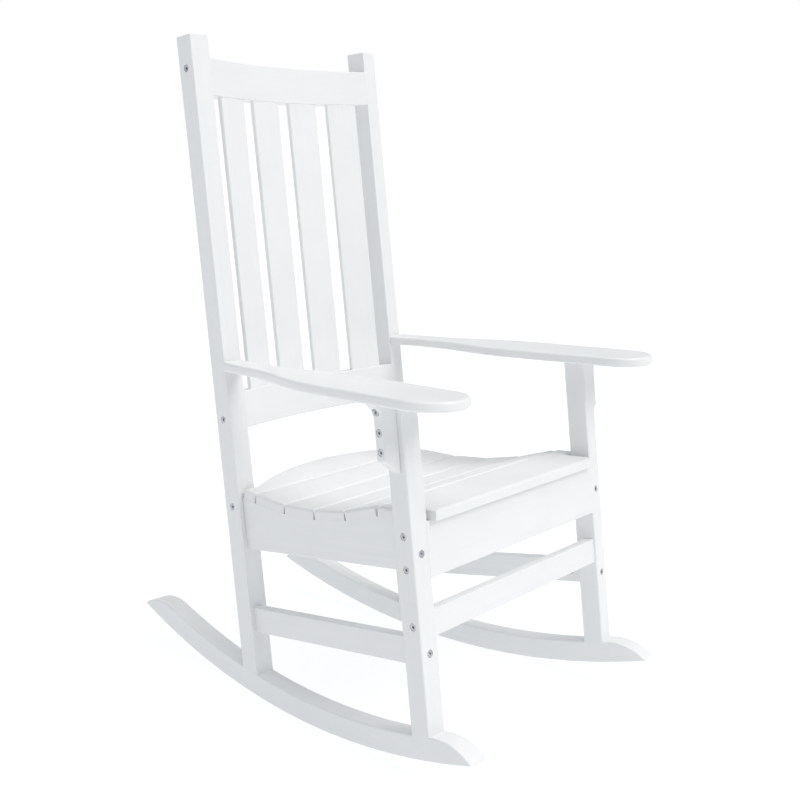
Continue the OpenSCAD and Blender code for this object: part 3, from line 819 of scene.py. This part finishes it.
def arm_bracket(side, word):
    """Bracket with a chamfered foot, an upright edge and a flare under the arm."""
    top = arm_under(LEG_MID)
    rise = top - BRACKET_FLARE_Z
    turn = math.asin(rise / BRACKET_FLARE_R)
    centre = (BRACKET_FLARE_Z, BRACKET_W + BRACKET_FLARE_R)
    flare = [
        (centre[0] + BRACKET_FLARE_R * math.sin(a), centre[1] - BRACKET_FLARE_R * math.cos(a))
        for a in (turn * i / 8 for i in range(9))
    ]
    outline = [(BRACKET_FOOT_Z, 0.0), (top, 0.0)]
    outline += list(reversed(flare)) + [(BRACKET_HEEL_Z, BRACKET_W)]
    local = SIDE_FRAME @ axes(Z, X, (0, LEG_MID - BRACKET_T / 2, 0))
    bm = board_mesh(outline, BRACKET_T, BRACKET_EDGE)
    piece = put(f"arm_bracket_board_{word}", bm, local, side)
    finish_board(piece, f"{word}_arm_bracket", head_bores(BRACKET_FRAMES, side))


# ---- boards that cross the chair ----


def cross_outline(s, y0, y1):
    """Plan of a straight board between the planes at s of the two side frames."""

    def end_x(y):
        u = (y - s * math.sin(TOE)) / math.cos(TOE)
        return side_x(s, u)

    return [(-end_x(y0), y0), (end_x(y0), y0), (end_x(y1), y1), (-end_x(y1), y1)]


def nut_bores_both_sides(frames):
    return nut_bores(frames, LEFT) + nut_bores(frames, RIGHT)


def cross_board(name, y, z, t, h, frames):
    outline = cross_outline(-LEG_W + LEG_EDGE, y, y + t)
    bm = board_mesh(outline, h, RAIL_EDGE, soft=along_grain)
    piece = put(f"{name}_board", bm, axes(X, Y, (0, 0, z)))
    finish_board(piece, name, nut_bores_both_sides(frames))


def front_slat():
    """Slat that slopes down to the front, notched round both legs."""
    back = side_y(RAIL_MID_S, FRONT_SLAT_END_U)
    notch_s = -LEG_W - LEG_GAP
    notch_u = LEG_W + LEG_GAP
    inner_front = cross_outline(notch_s, SLAT_LIP_Y, back)[1]
    inner_back = (side_x(notch_s, notch_u), side_y(notch_s, notch_u))
    outer_front = (side_x(RAIL_OUT_S, notch_u), side_y(RAIL_OUT_S, notch_u))
    outer_back = cross_outline(RAIL_OUT_S, SLAT_LIP_Y, back)[2]
    half = [inner_front, inner_back, outer_front, outer_back]
    outline = on_slab(mirrored(half), back, FRONT_SLOPE)
    at = Matrix.Translation((0, back, rail_top(FRONT_SLAT_END_U)))
    at = at @ Matrix.Rotation(FRONT_SLOPE, 4, "X")
    bm = board_mesh(outline, SLAT_T, UNDER_EDGE, SLAT_EDGE, off_the_rails)
    piece = put("seat_slat_1_board", bm, at)
    finish_board(piece, "seat_slat_1")


def slab_frame(u0, u1):
    """Frame of a slat that rests on the curved rails between two places."""
    y0 = side_y(RAIL_MID_S, u0)
    run = side_y(RAIL_MID_S, u1) - y0
    slope = math.atan((rail_top(u1) - rail_top(u0)) / run)
    frame_at = Matrix.Translation((0, y0, rail_top(u0))) @ Matrix.Rotation(slope, 4, "X")
    return frame_at, y0, slope


def on_slab(points, y0, slope):
    """Plan points laid on the slope of the slat."""
    return [(x, (y - y0) / math.cos(slope)) for x, y in points]


def seat_slat(i):
    u0 = slat_u(i)
    u1 = slat_end_u(i)
    at, y0, slope = slab_frame(u0, u1)
    width = math.hypot(side_y(0, u1) - side_y(0, u0), rail_top(u1) - rail_top(u0))
    outline = on_slab(cross_outline(RAIL_OUT_S, y0, y0 + width * math.cos(slope)), y0, slope)
    bm = board_mesh(outline, SLAT_T, UNDER_EDGE, SLAT_EDGE, off_the_rails)
    piece = put(f"seat_slat_{i + 2}_board", bm, at)
    finish_board(piece, f"seat_slat_{i + 2}")


def rear_slat():
    """Straight in front of the posts, bulging rearward between them."""
    u0 = slat_u(REAR_SLAT_I)
    u1 = slat_end_u(REAR_SLAT_I)
    at, y0, slope = slab_frame(u0, u1)
    end_y = side_y(RAIL_MID_S, u1)
    centre_y = REAR_BULGE_Y - REAR_BULGE_R
    half = math.acos((end_y - centre_y) / REAR_BULGE_R)
    bulge = arc((0.0, centre_y), REAR_BULGE_R, math.pi / 2 - half, math.pi / 2 + half)
    corners = cross_outline(RAIL_OUT_S, y0, end_y)
    outline = on_slab(corners[:3] + bulge + corners[3:], y0, slope)
    bm = board_mesh(outline, SLAT_T, UNDER_EDGE, SLAT_EDGE, off_the_rails)
    piece = put("seat_slat_6_board", bm, at)
    finish_board(piece, "seat_slat_6")


# ---- the back ----

BACK_HALF_X = side_x(-LEG_W, POST_U)
BACK_END_Y = side_y(-LEG_W, POST_U)
BACK_R = (BACK_HALF_X**2 + BACK_BOW**2) / (2 * BACK_BOW)
BACK_CENTRE_Y = BACK_END_Y + BACK_BOW - BACK_R


def angle_at_plane(radius, s):
    """Where an arc of the back meets the plane at s of the side frame, seen from its centre."""
    x0 = side_x(s, 0)
    y0 = side_y(s, 0) - BACK_CENTRE_Y
    along = y0 * math.cos(TOE) - x0 * math.sin(TOE)
    u = math.sqrt(along**2 + radius**2 - x0**2 - y0**2) - along
    return math.atan2(side_y(s, u) - BACK_CENTRE_Y, side_x(s, u))


def bowed_rail(name, z, h, bolt):
    """Rail bowed rearward; in front it runs flush into the rounded edges of the posts."""
    end_s = -LEG_W + POST_EDGE
    front_turn = math.atan2(BACK_END_Y - BACK_CENTRE_Y, BACK_HALF_X)
    rear_turn = angle_at_plane(BACK_R + BACK_RAIL_T, end_s)
    centre = (0.0, BACK_CENTRE_Y)
    flush = (side_x(end_s, POST_U), side_y(end_s, POST_U))
    outline = arc(centre, BACK_R, math.pi - front_turn, front_turn, 36)
    outline += [flush]
    outline += arc(centre, BACK_R + BACK_RAIL_T, rear_turn, math.pi - rear_turn, 36)
    outline += [(-flush[0], flush[1])]
    bm = board_mesh(outline, h, RAIL_EDGE, soft=along_grain)
    piece = put(f"{name}_board", bm, BACK_LEANING @ axes(X, Y, (0, 0, z)))
    finish_board(piece, name, nut_bores_both_sides([bolt]))


def back_slat(number, n):
    """Flat slat standing in the curve of the back, n steps round from the middle."""
    turn = Matrix.Rotation(-n * BACK_SLAT_TURN, 4, "Z")
    low = LOWER_RAIL_Z + LOWER_RAIL_H - TONGUE
    high = CREST_Z + TONGUE
    w = BACK_SLAT_W / 2
    outline = [(low, -w), (high, -w), (high, w), (low, w)]
    at = BACK_LEANING @ Matrix.Translation((0, BACK_CENTRE_Y, 0)) @ turn
    face = axes(Z, X, (0, BACK_R + BACK_SLAT_RECESS, 0))
    bm = board_mesh(outline, BACK_SLAT_T, BACK_SLAT_EDGE)
    piece = put(f"back_slat_{number}_board", bm, at @ face)
    finish_board(piece, f"back_slat_{number}")


# ---- fasteners ----


def ring(bm, at, z, radius):
    """A ring of vertices about the bolt's axis; radius gives its radius at an angle."""
    angles = [2 * math.pi * k / BOLT_SIDES for k in range(BOLT_SIDES)]
    points = [(radius(a) * math.cos(a), radius(a) * math.sin(a), z) for a in angles]
    return [bm.verts.new(at @ Vector(point)) for point in points]


def band(bm, low, high):
    """The faces between two rings."""
    for k in range(BOLT_SIDES):
        j = (k + 1) % BOLT_SIDES
        bm.faces.new((low[k], low[j], high[j], high[k]))


def bolt_shape(bm, at, length, diameter):
    """A socket-head bolt with a rounded rim: rings turned about its axis, then the socket."""
    top = HEAD_SINK + HEAD_DISH
    under = HEAD_SINK + HEAD_T
    end = under + length
    shank = diameter / 2
    corner = SOCKET_ACROSS / math.sqrt(3)
    rim = arc((HEAD_D / 2 - HEAD_ROUND, HEAD_SINK + HEAD_ROUND), HEAD_ROUND, -math.pi / 2, 0.0, 4)
    profile = [(corner + SOCKET_RIM, top)] + rim
    profile += [(HEAD_D / 2, under), (shank, under), (shank, end - BOLT_TIP), (shank - BOLT_TIP, end)]
    rings = [ring(bm, at, z, lambda a, r=r: r) for r, z in profile]
    for low, high in zip(rings, rings[1:]):
        band(bm, low, high)
    bm.faces.new(rings[-1])

    def hexagon(a):
        return SOCKET_ACROSS / 2 / math.cos(a % (math.pi / 3) - math.pi / 6)

    mouth = ring(bm, at, top, hexagon)
    bottom = ring(bm, at, HEAD_SINK + SOCKET_DEEP, hexagon)
    band(bm, mouth, rings[0])
    band(bm, bottom, mouth)
    bm.faces.new(bottom)


def bolt_group(node, frames, length, diameter):
    """All the bolts of one size, on both sides of the chair, as one piece."""
    bm = bmesh.new()
    for side in (LEFT, RIGHT):
        for local in frames:
            bolt_shape(bm, on_side(local, side), length, diameter)
    bmesh.ops.recalc_face_normals(bm, faces=bm.faces[:])
    piece = as_object(f"{node}_turned", bm)
    piece.data.set_sharp_from_angle(angle=SHARP)
    piece.data.materials.append(ZINC)
    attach(piece, "root")
    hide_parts(node)


def carried(node, material):
    """Gives a CAD node that stays visible its material."""
    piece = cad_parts[node]
    if piece.material_slots:
        for slot in piece.material_slots:
            slot.material = material
    else:
        piece.data.materials.append(material)


# ---- the chair ----


def build_chair():
    for word, side in SIDES.items():
        rocker(side, word)
        front_leg(side, word)
        rear_post(side, word)
        side_rail(side, word)
        side_stretcher(side, word)
        arm(side, word)
        arm_bracket(side, word)
    apron_y = side_y(-LEG_W, 0)
    apron_h = front_slat_z(apron_y) - APRON_Z
    cross_board("front_apron", apron_y, APRON_Z, APRON_T, apron_h, LEG_FRAMES[:2])
    stretcher_y = side_y(-LEG_W, STRETCHER_U)
    cross_board("front_stretcher", stretcher_y, STRETCHER_Z, STRETCHER_T, STRETCHER_H, LEG_FRAMES[2:])
    rear_y = side_y(-LEG_W, POST_MID_U) - REAR_RAIL_T / 2
    cross_board("rear_seat_rail", rear_y, REAR_RAIL_Z, REAR_RAIL_T, REAR_RAIL_H, POST_FRAMES[2:])
    front_slat()
    for i in range(REAR_SLAT_I):
        seat_slat(i)
    rear_slat()
    bowed_rail("lower_back_rail", LOWER_RAIL_Z, LOWER_RAIL_H, POST_FRAMES[1])
    bowed_rail("crest_rail", CREST_Z, CREST_H, POST_FRAMES[0])
    for number in range(1, 5):
        back_slat(number, number - 2.5)
    frames = LEG_FRAMES + POST_FRAMES + FRONT_END_FRAMES + REAR_END_FRAMES + [forward_into_arm()]
    bolt_group("frame_bolts", frames, BOLT_L, SHANK_D)
    bolt_group("bracket_screws", BRACKET_FRAMES, BRACKET_SCREW_L, BRACKET_SCREW_D)
    for node in ("barrel_nuts", "rocker_screws"):
        carried(node, ZINC)
    carried("seat_dowels", BEECH)


# ---- floor, light and camera ----


def studio_floor():
    bpy.ops.mesh.primitive_circle_add(vertices=96, radius=40.0, fill_type="NGON", location=(0, 0, 0))
    floor = bpy.context.object
    floor.name = "floor"
    m = Nodes("pale_floor")
    place = m.add("ShaderNodeTexCoord").outputs["Object"]
    mottle = m.noise(place, 3.0, 4.0)
    tone = m.mix(m.remap(mottle, 0.3, 0.7, 0.0, 1.0), (0.29, 0.29, 0.29, 1), (0.31, 0.31, 0.31, 1))
    m.link(tone, m.shader.inputs["Base Color"])
    m.shader.inputs["Roughness"].default_value = 0.9
    m.shader.inputs["Specular IOR Level"].default_value = 0.1
    m.shader.inputs["Emission Color"].default_value = (1, 1.02, 1.04, 1)
    m.shader.inputs["Emission Strength"].default_value = 0.77
    floor.data.materials.append(m.material)


def soft_light(name, towards, spread, strength, colour):
    """A broad, even light from far off; spread is the width of the softbox in degrees."""
    light = bpy.data.lights.new(name, "SUN")
    light.angle = math.radians(spread)
    light.energy = strength
    light.color = colour
    lamp = bpy.data.objects.new(name, light)
    bpy.context.collection.objects.link(lamp)
    lamp.rotation_euler = Vector(towards).to_track_quat("-Z", "Y").to_euler()


def studio_light():
    world = bpy.data.worlds.new("studio")
    bpy.context.scene.world = world
    world.use_nodes = True
    tree = world.node_tree
    tree.nodes.clear()
    out = tree.nodes.new("ShaderNodeOutputWorld")
    mix = tree.nodes.new("ShaderNodeMixShader")
    fill = tree.nodes.new("ShaderNodeBackground")
    fill.inputs["Strength"].default_value = 0.46
    seen = tree.nodes.new("ShaderNodeBackground")
    seen.inputs["Color"].default_value = (1, 1, 1, 1)
    fill.inputs["Color"].default_value = (0.98, 1.02, 1.055, 1)
    path = tree.nodes.new("ShaderNodeLightPath")
    tree.links.new(path.outputs["Is Camera Ray"], mix.inputs["Fac"])
    tree.links.new(fill.outputs[0], mix.inputs[1])
    tree.links.new(seen.outputs[0], mix.inputs[2])
    tree.links.new(mix.outputs[0], out.inputs["Surface"])
    soft_light("key", (-0.15, 0.7, -0.7), 30, 1.09, (1.0, 0.975, 0.955))
    soft_light("top", (-0.05, 0.05, -1.0), 60, 1.24, (1.0, 0.985, 0.97))
    bpy.context.scene.view_settings.view_transform = "Standard"


def studio_camera():
    """Seen from the sitter's front right, slightly above the seat, with the chair's own roll."""
    target = Vector((-154.9, 105.5, 555.7)) * MM
    azimuth = math.radians(-51.46)
    elevation = math.radians(5.99)
    roll = math.radians(-4.91)
    distance = 2149.7 * MM
    back = Vector(
        (
            math.sin(azimuth) * math.cos(elevation),
            -math.cos(azimuth) * math.cos(elevation),
            math.sin(elevation),
        )
    )
    facing = back.to_track_quat("Z", "Y").to_matrix().to_4x4()
    camera = bpy.data.objects.new("camera", bpy.data.cameras.new("camera"))
    bpy.context.collection.objects.link(camera)
    camera.data.lens = 59.05
    camera.data.sensor_width = 36
    place = Matrix.Translation(target + distance * back)
    camera.matrix_world = REST @ place @ facing @ Matrix.Rotation(roll, 4, "Z")
    bpy.context.scene.camera = camera


studio_camera()
studio_floor()
studio_light()
build_chair()
